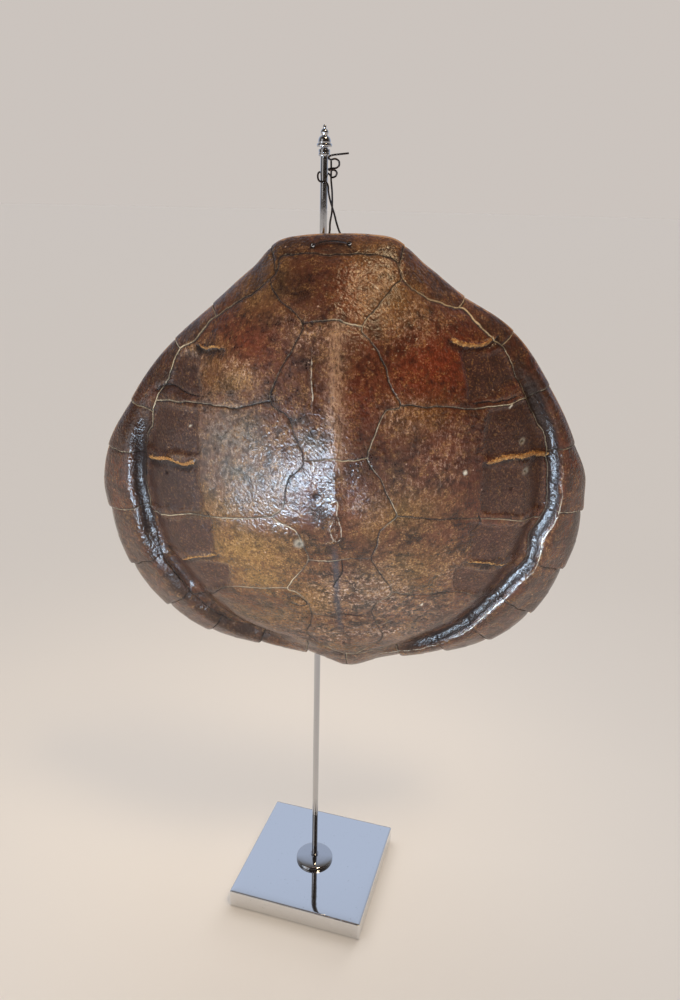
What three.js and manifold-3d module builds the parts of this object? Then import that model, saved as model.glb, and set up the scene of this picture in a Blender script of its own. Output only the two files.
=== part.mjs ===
// Turtle shell on a stand: the dried carapace of a sea turtle, hung by an iron wire from a polished rod.
// Millimetres, +Z up. The origin is the centre of the base plate's underside; -Y is the side that the shell faces.
import * as THREE from "three";
import { RoundedBoxGeometry } from "three/addons/geometries/RoundedBoxGeometry.js";
import { mergeVertices } from "three/addons/utils/BufferGeometryUtils.js";
import Module from "manifold-3d";

const wasm = await Module();
wasm.setup();

const gap = 0.3; // left between pieces that touch
const degree = Math.PI / 180;

// ---- stand ----
const plateSide = 150;
const plateThickness = 21.5;
const plateEdgeRadius = 1.5;
const plateTurn = -16.1 * degree; // the plate is not square to the shell
const standHeight = 804;
const rodRadius = 3.2;
const flangeRadius = 21;
const flangeHeight = 6;
const collarRadius = 4.85;
const collarBottom = standHeight - 24.6;
const collarHeight = 5.6;
const finialHeight = 17.4;

// Finial outline, from its underside up to its tip: radius, height above the underside.
const finialOutline = [
  [0, 0], [5.9, 0], [6.45, 0.7], [6.45, 2.2], [5.9, 2.9], [5.1, 3.1], [5.25, 4.2], [4.9, 6.4],
  [3.9, 8.2], [2.5, 8.9], [2.7, 9.6], [3.25, 11.2], [3.0, 12.9], [1.9, 14.1], [1.1, 14.5],
  [1.45, 15.5], [1.2, 16.8], [0, finialHeight],
];

// Flange section round the rod: radius, height above the plate.
const flangeBore = rodRadius + gap;
const flangeSection = [
  [flangeBore, 0], [flangeRadius, 0], [flangeRadius, 2.0], [20.2, 3.3], [17.5, 4.5],
  [12, 5.4], [7, 5.8], [5.2, flangeHeight], [flangeBore, flangeHeight],
];

// ---- carapace, in its own frame: x across, y from tail to head, z out of the back ----
const domeHeight = 97;
const domeCentre = 44; // y of the highest point, from mid length
const wall = 6.5; // bone and horn together, measured along z
// How blunt the dome is on top: small is pointed, large is round.
const headBluntness = 2;
const sideBluntness = 0.5;
const tailBluntness = 0.4;
const rimSteepness = 0.82;
const gutterDepth = 11;
const gutterWidth = 13;

// The dome's broad outline: its radius from the centre, as a sum of cosines of the angle from the head.
const broadOutline = [211, -57, 4, 14];
const rimReach = 5; // power with which the rim's own shape fades out towards the centre
// The rim from head to tail tip, where the marginal scutes meet and in between.
const rimRight = [
  [0, 215], [27, 214], [44, 211], [54, 205], [72, 189], [102, 165], [144, 136], [178, 89],
  [205, 36], [218, 5], [220, -20], [218, -66], [209, -98], [184, -149], [145, -184],
  [102, -199], [57, -207], [33, -211], [1, -221],
];
const rimLeft = [
  [-27, 214], [-44, 211], [-54, 205], [-70, 189], [-105, 160], [-141, 130], [-187, 75],
  [-215, 30], [-225, -8], [-224, -34], [-212, -98], [-181, -148], [-141, -179], [-91, -194],
  [-42, -205], [-19, -213],
];
// The gutter between the costal and the marginal scutes, right half; the left half mirrors it.
const gutterHalf = [
  [0, 190], [51, 186], [101, 156], [145, 106], [168, 62], [178, 10], [171, -45], [150, -95],
  [110, -149], [60, -178], [0, -190],
];

// How the carapace hangs: leaning with its head end forward, turned and rolled a little.
const hangLean = 8 * degree;
const hangTurn = -3 * degree;
const hangRoll = 2 * degree;
const hangPoint = [22, -37, 507.5];

const wireHoleRadius = 2;
const wireHoles = [[10, 209], [-19, 208]];
const aroundSteps = 88;

// Carapace section from the centre of the back round the rim to the centre of the hollow:
// share of the way out to the rim, depth below the back's surface.
const shellSection = [
  [0, 0], [0.14, 0], [0.28, 0], [0.41, 0], [0.53, 0], [0.63, 0], [0.71, 0], [0.77, 0], [0.82, 0],
  [0.87, 0], [0.92, 0], [0.965, 0], [0.99, 0], [1, 0], [0.997, 3], [0.982, 8], [0.95, wall],
  [0.87, wall], [0.78, wall], [0.66, wall], [0.5, wall], [0.3, wall], [0, wall],
];

// ---- hanging wire ----
const wireRadius = 0.8;
const wireStep = 2;
// From the loose end, over two curls and once round the rod, down to the right hole, across the
// front of the shell, back through the left hole and up into the twist.
const wireRoute = [
  [20.6, -7, 782], [14, -7, 781.2], [8.2, -6.4, 780.5], [4.9, -6, 779.6], [3.8, -7.2, 777.8],
  [5.8, -8.4, 776.7],
  [9.4, -8.4, 777.4], [12.4, -7.8, 775.6], [12.6, -7, 772.3], [10.2, -6, 770.4],
  [7.4, -3.6, 770.2], [4.6, -4.2, 769.8], [3.9, -6, 769.2], [5.6, -7.9, 768.4],
  [8.6, -8.2, 768.8], [10.8, -7.8, 767], [10.2, -7, 764.4], [8.2, -4.8, 763.2],
  [6.4, -3, 763.2], [5.7, -0.8, 764], [4.6, 2.2, 765.5], [1.6, 4.8, 767], [-2.4, 4.4, 767.4],
  [-4.8, 1.6, 766.6], [-5.3, -1, 763.5], [-4.2, -3.2, 760.4], [-1.6, -4.9, 759.4],
  [1.2, -5.4, 759.3], [3, -6.6, 758], [3.9, -10, 755.5], [4.2, -14, 752], [5, -20, 748.4],
  [6, -24.5, 745], [7.8, -31, 740], [10, -38, 734], [12.2, -46, 727], [15, -52.5, 720.5],
  [19, -57, 717], [22.4, -60, 715.8], [23.4, -64, 715], [23, -70.2, 714.1], [22.8, -74.4, 713.7],
  [21.6, -77.4, 714.1], [18.6, -77.6, 714.7], [14.6, -76.6, 715.1], [8, -75.9, 715.3],
  [1.5, -76.1, 714.5], [-3.3, -76.8, 713.1], [-5.5, -76.2, 712.2], [-6.2, -73.2, 711.7],
  [-5.9, -68.4, 712.1], [-5.6, -62, 713], [-3.8, -58, 714.2], [0.8, -56.6, 716.2],
  [6.1, -55, 719.4], [6.7, -48.5, 728.3], [7.8, -40.5, 735.6], [7.9, -31, 743.6],
  [7.3, -17, 752.4], [6.4, -8, 758.8], [6.1, -5.9, 763], [6.1, -5.7, 770], [5.9, -5.9, 776],
];

// ---- materials ----
const horn = new THREE.MeshStandardMaterial({ color: 0x4a2616, roughness: 0.35, metalness: 0 });
const chrome = new THREE.MeshStandardMaterial({ color: 0xc9cbce, roughness: 0.08, metalness: 1 });
const iron = new THREE.MeshStandardMaterial({ color: 0x231d1a, roughness: 0.6, metalness: 0.8 });

// Distance from the dome's centre to a closed outline, as a smooth function of the angle from the head.
function outlineRadius(points) {
  const turn = 2 * Math.PI;
  const knots = points
    .map(([x, y]) => [(Math.atan2(x, y - domeCentre) + turn) % turn, Math.hypot(x, y - domeCentre)])
    .sort((a, b) => a[0] - b[0]);
  const knot = (i) => {
    const lap = Math.floor(i / knots.length);
    const [angle, radius] = knots[i - lap * knots.length];
    return [angle + lap * turn, radius];
  };
  const slope = (i) => (knot(i + 1)[1] - knot(i - 1)[1]) / (knot(i + 1)[0] - knot(i - 1)[0]);
  return (angle) => {
    const a = ((angle % turn) + turn) % turn;
    let i = -1;
    while (knot(i + 1)[0] <= a) i += 1;
    const [from, to] = [knot(i), knot(i + 1)];
    const span = to[0] - from[0];
    const t = (a - from[0]) / span;
    const rise = t * t * (3 - 2 * t);
    const lean = t * (1 - t);
    return from[1] * (1 - rise) + to[1] * rise + span * lean * (slope(i) * (1 - t) - slope(i + 1) * t);
  };
}

const rimRadius = outlineRadius([...rimRight, ...rimLeft]);
const gutterRadius = outlineRadius([
  ...gutterHalf,
  ...gutterHalf.filter(([x]) => x > 0).map(([x, y]) => [-x, y]),
]);

// Distance from the centre at a share of the way to the rim.
function reach(share, angle) {
  const broad = broadOutline.reduce((sum, term, k) => sum + term * Math.cos(k * angle), 0);
  return share * (broad + (rimRadius(angle) - broad) * share ** rimReach);
}

// Height of the back's surface at a share of the way from the centre to the rim.
function backHeight(share, angle) {
  const along = Math.cos(angle) ** 2;
  const endBluntness = Math.cos(angle) > 0 ? headBluntness : tailBluntness;
  const blunt = endBluntness * along + sideBluntness * (1 - along);
  const fall = (Math.hypot(share, blunt) - blunt) / (Math.hypot(1, blunt) - blunt);
  const dome = domeHeight * Math.max(1 - fall, 0) ** rimSteepness;
  const fromHead = Math.abs(Math.atan2(Math.sin(angle), Math.cos(angle))) / degree;
  const { smoothstep } = THREE.MathUtils;
  const sides = smoothstep(fromHead, 55, 95) * (1 - smoothstep(fromHead, 155, 175));
  const outside = (reach(share, angle) - gutterRadius(angle)) / gutterWidth;
  return dome - gutterDepth * sides * Math.exp(-outside * outside);
}

function solidOf(geometry) {
  const bare = new THREE.BufferGeometry().setAttribute("position", geometry.toNonIndexed().getAttribute("position"));
  const merged = mergeVertices(bare, 1e-3);
  return new wasm.Manifold(
    new wasm.Mesh({
      numProp: 3,
      vertProperties: merged.attributes.position.array,
      triVerts: new Uint32Array(merged.index.array),
    }),
  );
}

function geometryOf(solid) {
  const { vertProperties, triVerts } = solid.getMesh();
  const geometry = new THREE.BufferGeometry()
    .setAttribute("position", new THREE.BufferAttribute(vertProperties, 3))
    .setIndex(new THREE.BufferAttribute(triVerts, 1))
    .toNonIndexed();
  geometry.computeVertexNormals();
  return geometry;
}

function piece(name, geometry, material) {
  const mesh = new THREE.Mesh(geometry, material);
  mesh.name = name;
  return mesh;
}

function turned(section, steps) {
  const points = section.map(([r, z]) => new THREE.Vector2(r, z));
  return new THREE.LatheGeometry(points, steps).rotateX(90 * degree);
}

// A lathed lens whose rings are then stretched out to the rim and lifted to the back's surface.
function makeCarapace() {
  const section = shellSection.map(([share, depth]) => new THREE.Vector2(share, -depth));
  const blank = new THREE.LatheGeometry(section, aroundSteps);
  const place = blank.getAttribute("position");
  for (let i = 0; i < place.count; i += 1) {
    const share = Math.hypot(place.getX(i), place.getZ(i));
    const angle = share > 0 ? Math.atan2(place.getX(i), place.getZ(i)) : 0;
    const out = reach(share, angle);
    const height = backHeight(share, angle) + place.getY(i);
    place.setXYZ(i, out * Math.sin(angle), domeCentre + out * Math.cos(angle), height);
  }
  let shell = solidOf(blank);
  for (const [x, y] of wireHoles) {
    const drill = new THREE.CylinderGeometry(wireHoleRadius, wireHoleRadius, 80, 16);
    shell = shell.subtract(solidOf(drill.rotateX(90 * degree).translate(x, y, 0)));
  }
  return piece("carapace", geometryOf(shell), horn);
}

function hungShell() {
  const hanger = new THREE.Group();
  hanger.position.set(...hangPoint);
  hanger.rotation.set(90 * degree + hangLean, 0, hangTurn, "ZXY");
  const carapace = makeCarapace();
  carapace.rotation.z = hangRoll;
  hanger.add(carapace);
  return hanger;
}

function makePlate() {
  const box = new RoundedBoxGeometry(plateSide, plateSide, plateThickness, 2, plateEdgeRadius);
  const plate = piece("base_plate", box, chrome);
  plate.position.z = plateThickness / 2;
  plate.rotation.z = plateTurn;
  return plate;
}

function makeRod() {
  const bottom = plateThickness + gap;
  const length = standHeight - finialHeight - gap - bottom;
  const rod = piece("rod", new THREE.CylinderGeometry(rodRadius, rodRadius, length, 24), chrome);
  rod.rotation.x = 90 * degree;
  rod.position.z = bottom + length / 2;
  return rod;
}

function makeFlange() {
  const flange = piece("base_flange", turned([...flangeSection, flangeSection[0]], 48), chrome);
  flange.position.z = plateThickness + gap;
  return flange;
}

function makeCollar() {
  const bore = rodRadius + gap;
  const section = [
    [bore, 0], [collarRadius - 0.5, 0], [collarRadius, 0.5], [collarRadius, collarHeight - 0.5],
    [collarRadius - 0.5, collarHeight], [bore, collarHeight], [bore, 0],
  ];
  const collar = piece("rod_collar", turned(section, 24), chrome);
  collar.position.z = collarBottom;
  return collar;
}

function makeFinial() {
  const finial = piece("finial", turned(finialOutline, 24), chrome);
  finial.position.z = standHeight - finialHeight;
  return finial;
}

function makeWire() {
  const route = new THREE.CatmullRomCurve3(wireRoute.map((p) => new THREE.Vector3(...p)));
  const section = new THREE.Shape().absarc(0, 0, wireRadius, 0, 2 * Math.PI);
  const steps = Math.round(route.getLength() / wireStep);
  const tube = new THREE.ExtrudeGeometry(section, { steps, extrudePath: route, curveSegments: 4 });
  return piece("hanging_wire", tube, iron);
}

const model = new THREE.Group();
model.add(hungShell(), makePlate(), makeFlange(), makeRod(), makeCollar(), makeFinial(), makeWire());

export default model;
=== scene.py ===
# %% [markdown]
# # A turtle shell on a chrome stand
# The carapace of a sea turtle, dried and varnished, hangs by an iron wire from a chrome rod that
# stands in a square chrome plate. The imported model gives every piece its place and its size. This
# lesson makes each piece again with a fine surface, and gives it a finish made of nodes.

# %% Load the frame
import math

import bmesh
import bpy
import numpy as np
from mathutils import Euler, Matrix, Vector, noise


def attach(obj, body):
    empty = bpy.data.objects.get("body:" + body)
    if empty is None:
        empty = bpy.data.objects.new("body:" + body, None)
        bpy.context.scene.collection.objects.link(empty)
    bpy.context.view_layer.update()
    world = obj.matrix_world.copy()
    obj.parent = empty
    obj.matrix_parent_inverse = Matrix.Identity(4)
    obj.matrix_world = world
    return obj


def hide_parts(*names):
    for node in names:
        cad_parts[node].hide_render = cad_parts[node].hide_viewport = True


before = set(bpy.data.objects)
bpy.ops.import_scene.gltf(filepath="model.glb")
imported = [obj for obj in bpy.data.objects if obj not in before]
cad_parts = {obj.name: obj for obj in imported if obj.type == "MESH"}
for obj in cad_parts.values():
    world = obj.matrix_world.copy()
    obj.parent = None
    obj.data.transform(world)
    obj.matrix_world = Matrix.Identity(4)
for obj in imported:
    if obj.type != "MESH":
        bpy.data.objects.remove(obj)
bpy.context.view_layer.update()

MM = 0.001
TURN = 2 * math.pi

# %% [markdown]
# ## The camera
# The shell is seen from a little above its middle, looking down on the plate. A camera can be aimed
# with a constraint, but a written turn is easier to check: it starts level, looking along +Y, is
# tipped down and then rolled a little.

# %% Camera
eye = Vector((20, -732, 746)) * MM
eye_pitch = math.radians(20.6)
eye_roll = math.radians(1.35)
lens = 28.8


def put(name, data):
    """A new object in the scene, made of the data."""
    thing = bpy.data.objects.new(name, data)
    bpy.context.scene.collection.objects.link(thing)
    return thing


def add_camera():
    data = bpy.data.cameras.new("camera")
    data.lens = lens
    camera = put("camera", data)
    level = math.radians(90)
    turned = Matrix.Rotation(level - eye_pitch, 4, "X") @ Matrix.Rotation(eye_roll, 4, "Z")
    camera.matrix_world = Matrix.Translation(eye) @ turned
    bpy.context.scene.camera = camera
    print("camera at", tuple(round(c, 3) for c in eye))


add_camera()

# %% [markdown]
# ## Helpers for pieces
# Every piece ends the same way: its bmesh becomes a mesh, the mesh becomes an object at the origin,
# the frame is told what it rides on, and the plain piece that it stands for is hidden. Smooth outlines are
# needed for the turned parts and for the seams, so one helper runs a curve through chosen points.

# %% A curve through points
def through(points, per_span=8, closed=False):
    """Catmull-Rom curve through the points, as an array with per_span steps between neighbours."""
    knots = np.array(points, float)
    if closed:
        knots = np.concatenate([knots[-1:], knots, knots[:2]])
    else:
        first = 2 * knots[0] - knots[1]
        last = 2 * knots[-1] - knots[-2]
        knots = np.concatenate([[first], knots, [last]])
    t = np.linspace(0, 1, per_span, endpoint=False)[:, None]
    spans = []
    for a, b, c, d in zip(knots, knots[1:], knots[2:], knots[3:]):
        bend = (2 * a - 5 * b + 4 * c - d) * t * t + (3 * b - a - 3 * c + d) * t ** 3
        spans.append(0.5 * (2 * b + (c - a) * t + bend))
    end = knots[1:2] if closed else knots[-2:-1]
    return np.concatenate(spans + [end])


# %% From a bmesh to a piece
def add_piece(name, node, mesh, finish):
    """Puts a finished mesh in the scene in place of a node of the frame."""
    piece = put(name, mesh)
    mesh.materials.append(finish)
    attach(piece, "root")
    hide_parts(node)
    print(name, "has", len(mesh.polygons), "faces")
    return piece


def mesh_from(bm, name):
    mesh = bpy.data.meshes.new(name)
    bm.to_mesh(mesh)
    bm.free()
    return mesh


def mesh_of(bm, name):
    """Turns a bmesh whose units are millimetres into a smooth mesh in metres."""
    bmesh.ops.scale(bm, vec=(MM, MM, MM), verts=bm.verts)
    mesh = mesh_from(bm, name)
    mesh.shade_smooth()
    return mesh


# %% [markdown]
# ## Helpers for finishes
# A finish is a sum of patterns, and sums read best as sums. A small class wraps a socket, so that
# an expression such as 1 - mask adds the Math node it needs. Every other node comes from one method
# that sets the node up, fills in its sockets and hands back an output.

# %% Sockets that can be added and multiplied
class Socket:
    def __init__(self, tree, socket):
        self.tree = tree
        self.socket = socket

    def math(self, operation, *others):
        inputs = dict(enumerate((self,) + others))
        return self.node("ShaderNodeMath", {"operation": operation}, inputs)

    def node(self, kind, settings=None, inputs=None, output=0):
        return add_node(self.tree, kind, settings, inputs, output)

    def __add__(self, other):
        return self.math("ADD", other)

    def __sub__(self, other):
        return self.math("SUBTRACT", other)

    def __mul__(self, other):
        return self.math("MULTIPLY", other)

    def __rsub__(self, other):
        return (self * -1) + other

    __radd__ = __add__
    __rmul__ = __mul__

    def size(self):
        return self.math("ABSOLUTE")

    def step(self, low, high):
        """0 below low and 1 above high, with a smooth rise between; high may be the smaller one."""
        inputs = {"Value": self, "From Min": low, "From Max": high}
        return self.node("ShaderNodeMapRange", {"interpolation_type": "SMOOTHSTEP"}, inputs)


def add_node(tree, kind, settings=None, inputs=None, output=0):
    node = tree.nodes.new(kind)
    for key, value in (settings or {}).items():
        if key == "stops":
            set_stops(node.color_ramp, value)
        else:
            setattr(node, key, value)
    for key, value in (inputs or {}).items():
        if isinstance(value, Socket):
            tree.links.new(value.socket, node.inputs[key])
        else:
            node.inputs[key].default_value = value
    return Socket(tree, node.outputs[output])


def set_stops(ramp, stops):
    while len(ramp.elements) < len(stops):
        ramp.elements.new(1)
    for element, (place, color) in zip(ramp.elements, stops):
        element.position = place
        element.color = color


# %% Patterns and colours
def rgb(red, green, blue):
    """A colour given as the 0 to 255 numbers of a paint chart, as the linear colour nodes use."""
    parts = []
    for part in (red, green, blue):
        share = part / 255
        parts.append(share / 12.92 if share < 0.04045 else ((share + 0.055) / 1.055) ** 2.4)
    return (*parts, 1)


class Finish:
    """A material under way: its tree, its Principled shader and the patterns it can draw on."""

    def __init__(self, name, **values):
        self.material = bpy.data.materials.new(name)
        self.material.use_nodes = True
        self.tree = self.material.node_tree
        self.shader = self.tree.nodes["Principled BSDF"]
        for key, value in values.items():
            self.shader.inputs[key.replace("_", " ")].default_value = value
        self.place = self.add("ShaderNodeTexCoord", output="Object")

    def add(self, kind, settings=None, inputs=None, output=0):
        return add_node(self.tree, kind, settings, inputs, output)

    def attribute(self, name):
        return self.add("ShaderNodeAttribute", {"attribute_name": name}, output="Fac")

    def noise(self, size, detail=3, roughness=0.5, place=None, distortion=0):
        """Noise whose lumps are about size millimetres, from 0 to 1."""
        inputs = {"Vector": place or self.place, "Scale": 1 / (size * MM), "Detail": detail}
        inputs.update({"Roughness": roughness, "Distortion": distortion})
        return self.add("ShaderNodeTexNoise", None, inputs)

    def cells(self, size, feature="F1"):
        """Distance from the nearest of many scattered points, size millimetres apart."""
        inputs = {"Vector": self.place, "Scale": 1 / (size * MM)}
        return self.add("ShaderNodeTexVoronoi", {"feature": feature}, inputs, "Distance")

    def mapped(self, scale, rotation=(0, 0, 0)):
        """The place turned, then stretched: a small scale draws a pattern out along its axis."""
        turned = self.add("ShaderNodeMapping", None, {0: self.place, "Rotation": rotation})
        return self.add("ShaderNodeMapping", None, {0: turned, "Scale": scale})

    def mix(self, share, under, over):
        """Over laid on under by share; the Mix node keeps its colour sockets at these numbers."""
        colors = {0: share, 6: under, 7: over}
        return self.add("ShaderNodeMix", {"data_type": "RGBA"}, colors, 2)

    def layered(self, color, layers):
        """Lays colours over one another in turn: each layer is its share and its colour."""
        for share, over in layers:
            color = self.mix(share, color, over)
        return color

    def use(self, **parts):
        """Links what changes over the surface to the shader."""
        for key, value in parts.items():
            self.tree.links.new(value.socket, self.shader.inputs[key.replace("_", " ")])
        return self.material

    def cover(self, share, color, normal):
        """Lays a dull layer of dirt over the finish by share."""
        dull = {"Base Color": color, "Roughness": 0.85, "Specular IOR Level": 0.15, "Normal": normal}
        dirt = self.add("ShaderNodeBsdfPrincipled", None, dull)
        shine = Socket(self.tree, self.shader.outputs[0])
        both = self.add("ShaderNodeMixShader", None, {0: share, 1: shine, 2: dirt})
        output = self.tree.nodes["Material Output"]
        self.tree.links.new(both.socket, output.inputs["Surface"])

    def bump(self, height):
        """A Normal from a height in millimetres."""
        inputs = {"Height": height, "Distance": MM, "Strength": 1}
        return self.add("ShaderNodeBump", None, inputs, "Normal")


# %% [markdown]
# ## The shell's broad shape
# A carapace is a dome whose outline is not round: blunt at the head, wide at the sides, pointed at
# the tail. Every point on it can be named by two numbers, its share of the way from the top of the
# dome to the rim and its angle from the head. The rim's own corners fade out towards the centre, so
# that the back stays smooth. The measures are in millimetres, in the shell's own frame: x across,
# y from tail to head, z out of the back.

# %% Measures of the shell
dome_height = 97
dome_centre = 44
head_bluntness = 2
side_bluntness = 0.5
tail_bluntness = 0.4
rim_steepness = 0.82
gutter_depth = 11
gutter_width = 13
broad_outline = (211, -57, 4, 14)
rim_reach = 5
rim_right = [
    (0, 215), (27, 214), (44, 211), (54, 205), (72, 189), (102, 165), (144, 136), (178, 89),
    (205, 36), (218, 5), (220, -20), (218, -66), (209, -98), (184, -149), (145, -184),
    (102, -199), (57, -207), (33, -211), (1, -221),
]
rim_left = [
    (-27, 214), (-44, 211), (-54, 205), (-70, 189), (-105, 160), (-141, 130), (-187, 75),
    (-215, 30), (-225, -8), (-224, -34), (-212, -98), (-181, -148), (-141, -179), (-91, -194),
    (-42, -205), (-19, -213),
]
gutter_half = [
    (0, 190), (51, 186), (101, 156), (145, 106), (168, 62), (178, 10), (171, -45), (150, -95),
    (110, -149), (60, -178), (0, -190),
]
hang_point = Vector((22, -37, 507.5)) * MM
hang_turn = Euler((math.radians(98), 0, math.radians(-3)), "YXZ").to_matrix()
hang_turn = hang_turn @ Matrix.Rotation(math.radians(2), 3, "Z")


# %% Places on the shell
def smoothstep(value, low, high):
    t = np.clip((value - low) / (high - low), 0, 1)
    return t * t * (3 - 2 * t)


def between(value, rise, fall):
    """1 between a soft rise and a soft fall, and 0 outside them."""
    return smoothstep(value, *rise) * (1 - smoothstep(value, *fall))


def degrees_from_head(angle):
    return np.degrees(np.abs(np.arctan2(np.sin(angle), np.cos(angle))))


def outline_radius(points):
    """Distance from the dome's centre to a closed outline, as a smooth function of the angle."""
    x, y = np.array(points, float).T
    angle = np.arctan2(x, y - dome_centre) % TURN
    order = np.argsort(angle)
    angle = angle[order]
    radius = np.hypot(x, y - dome_centre)[order]
    angle = np.concatenate([angle[-2:] - TURN, angle, angle[:2] + TURN])
    radius = np.concatenate([radius[-2:], radius, radius[:2]])
    slope = np.zeros_like(radius)
    slope[1:-1] = (radius[2:] - radius[:-2]) / (angle[2:] - angle[:-2])

    def at(wanted):
        turned = wanted % TURN
        i = np.searchsorted(angle, turned, side="right") - 1
        span = angle[i + 1] - angle[i]
        t = (turned - angle[i]) / span
        rise = t * t * (3 - 2 * t)
        lean = span * t * (1 - t) * (slope[i] * (1 - t) - slope[i + 1] * t)
        return radius[i] * (1 - rise) + radius[i + 1] * rise + lean

    return at


rim_radius = outline_radius(rim_right + rim_left)
gutter_radius = outline_radius(gutter_half + [(-x, y) for x, y in gutter_half if x > 0])


def reach(share, angle):
    """Distance from the centre at a share of the way to the rim."""
    broad = sum(term * np.cos(k * angle) for k, term in enumerate(broad_outline))
    return share * (broad + (rim_radius(angle) - broad) * share ** rim_reach)


def back_height(share, angle):
    """Height of the back's surface."""
    along = np.cos(angle) ** 2
    end = np.where(np.cos(angle) > 0, head_bluntness, tail_bluntness)
    blunt = end * along + side_bluntness * (1 - along)
    fall = (np.hypot(share, blunt) - blunt) / (np.hypot(1, blunt) - blunt)
    dome = dome_height * np.maximum(1 - fall, 0) ** rim_steepness
    sides = between(degrees_from_head(angle), (55, 95), (155, 175))
    outside = (reach(share, angle) - gutter_radius(angle)) / gutter_width
    return dome - gutter_depth * sides * np.exp(-outside * outside)


# %% [markdown]
# ## The shell as one closed sheet
# The back needs a fine mesh for its seams, the hollow side a coarser one. Both start as flat square
# grids, one above the other. The upper grid's border is pulled down in a few rows, which become the
# rounded lip of the rim, and is bridged to the lower grid. In this flat blank a point's height is
# the number of its row, so one step can then move every point to its place. A square turns into a
# disc by pulling its rings of cells into circles, which leaves no pole in the middle.

# %% Blank of the shell
outer_cells = 264
inner_cells = 132
# The lip from the back's surface round to the hollow: share of the way out, depth below the back.
lip_rows = [(1.0012, 0.9), (1.001, 2.2), (0.9985, 4.2), (0.994, 6.2), (0.986, 7.6), (0.973, 7.7)]
inner_row = len(lip_rows) + 1
inner_share = 0.955
wall = 6.5
# Depth is measured straight down, so the steep sides need more of it for the same thickness.
side_thickening = 0.9


def border_of(edges):
    return [edge for edge in edges if edge.is_boundary]


def make_blank():
    bm = bmesh.new()
    bmesh.ops.create_grid(bm, x_segments=outer_cells, y_segments=outer_cells, size=1)
    border = border_of(bm.edges)
    for _ in lip_rows:
        made = bmesh.ops.extrude_edge_only(bm, edges=border)["geom"]
        lower = [part for part in made if isinstance(part, bmesh.types.BMVert)]
        bmesh.ops.translate(bm, vec=(0, 0, -1), verts=lower)
        border = border_of(part for part in made if isinstance(part, bmesh.types.BMEdge))
    down = Matrix.Translation((0, 0, -inner_row))
    made = bmesh.ops.create_grid(
        bm, x_segments=inner_cells, y_segments=inner_cells, size=1, matrix=down
    )
    inside = set(edge for vert in made["verts"] for edge in vert.link_edges)
    bmesh.ops.bridge_loops(bm, edges=border + border_of(inside))
    bmesh.ops.recalc_face_normals(bm, faces=bm.faces)
    print("blank:", len(bm.verts), "points,", len(border_of(bm.edges)), "open edges")
    return bm


def disc_place(x, y):
    """Share and angle on the disc of a point of the square."""
    share = np.maximum(np.abs(x), np.abs(y))
    safe = np.maximum(share, 1e-9)
    ahead = np.pi / 4 * x / safe
    aside = np.pi / 4 * y / safe
    angle = np.where(y > 0, ahead, np.pi - ahead)
    across = np.where(x > 0, np.pi / 2 - aside, aside - np.pi / 2)
    return share, np.where(np.abs(x) > np.abs(y), across, angle)


def shape_shell(blank):
    """Places of the blank's points on the shell, with each one's share, angle and row."""
    x, y, height = blank.T
    row = np.rint(-height).astype(int)
    share, angle = disc_place(x, y)
    lip = [(1, 0)] + lip_rows + [(inner_share, wall)]
    share = share * np.array([part[0] for part in lip])[row]
    depth = np.array([part[1] for part in lip])[row]
    steep = between(share, (0.35, 0.75), (0.87, inner_share))
    depth = depth * (1 + side_thickening * steep * (row == inner_row))
    out = reach(share, angle)
    z = back_height(np.minimum(share, 1), angle) - depth
    place = np.stack([out * np.sin(angle), dome_centre + out * np.cos(angle), z], axis=1)
    return place, share, angle, row


# %% [markdown]
# ## Where the scutes meet
# Horn plates, the scutes, cover the bone: five along the spine, four on each side and a border of
# small ones round the rim. Their seams form a net. Each family of seams is kept as a field over the
# shell: how many millimetres a point is from the seam, less than zero on one side and more on the
# other. Such a field crosses zero exactly on the seam, so a thin line drawn from it stays sharp
# between the points of the mesh.

# %% Seams of the scutes
# Between the side scutes and the rim scutes, from the head round the right side to the tail.
ring_right = [
    (0, 203), (22, 203), (45, 199), (51, 185), (71, 170), (93, 160), (102, 158), (115, 144),
    (137, 124), (147, 104), (157, 86), (167, 65), (178, 40), (182, -12), (179, -26), (171, -43),
    (167, -73), (153, -91), (137, -115), (108, -153), (74, -175), (40, -181), (0, -191),
]
ring_left = [
    (-36, -165), (-76, -168), (-110, -157), (-137, -132), (-157, -100), (-172, -66),
    (-175, -20), (-178, 5), (-172, 46), (-165, 61), (-159, 83), (-145, 103), (-136, 124),
    (-121, 133), (-112, 142), (-100, 154), (-52, 185), (-43, 201), (-20, 203),
]

# %% Seams of the spine and across it
# Round the five scutes of the spine; it runs past the ring at the head.
spine_right = [
    (56, 230), (52, 190), (42, 178), (21, 157), (29, 146), (39, 130), (43, 116), (51, 101),
    (39, 97), (32, 83), (26, 64), (37, 43), (43, 26), (49, 10), (37, -2), (33, -19), (29, -34),
    (36, -55), (46, -81), (34, -95), (28, -110), (33, -135), (38, -157), (20, -180), (0, -196),
]
spine_left = [
    (-18, -176), (-35, -154), (-32, -135), (-28, -116), (-30, -97), (-38, -83), (-47, -78),
    (-37, -60), (-25, -37), (-28, -20), (-34, -3), (-52, 7), (-43, 18), (-37, 42), (-24, 61),
    (-31, 82), (-36, 95), (-50, 104), (-43, 125), (-32, 142), (-24, 159), (-44, 174),
    (-53, 188), (-58, 230),
]
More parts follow.
